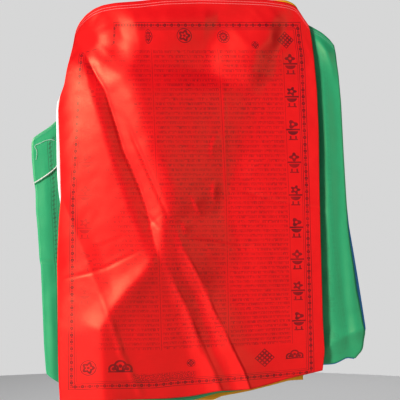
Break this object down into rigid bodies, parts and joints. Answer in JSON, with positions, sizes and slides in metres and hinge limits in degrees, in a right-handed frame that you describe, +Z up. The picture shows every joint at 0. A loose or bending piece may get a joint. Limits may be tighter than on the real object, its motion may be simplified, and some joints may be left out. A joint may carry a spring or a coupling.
{
  "type": "tibetan prayer flag string",
  "caption": "Bundle of large printed prayer flags of one string, folded flag behind flag and hanging by the two top corners, with a loose end of its cord.",
  "frame": {"origin": "middle of the top edge of the front (red) flag, where the bundle is held up", "axes": "+Z up; -Y is the side that the front flag's print faces; +X to the right as the print is looked at"},
  "size_m": [0.9028, 0.1297, 1.0979],
  "materials": {
    "red_cloth": "matt printed cotton",
    "white_cloth": "matt printed cotton",
    "green_cloth": "matt printed cotton",
    "blue_cloth": "matt printed cotton",
    "yellow_cloth": "matt printed cotton",
    "string_cotton": "matt twisted cotton"
  },
  "bodies": {
    "root": {"flag_red": "red_cloth", "flag_white": "white_cloth", "flag_green_left": "green_cloth", "flag_green_right": "green_cloth", "flag_blue": "blue_cloth", "flag_yellow": "yellow_cloth", "string_end": "string_cotton"}
  },
  "joints": []
}
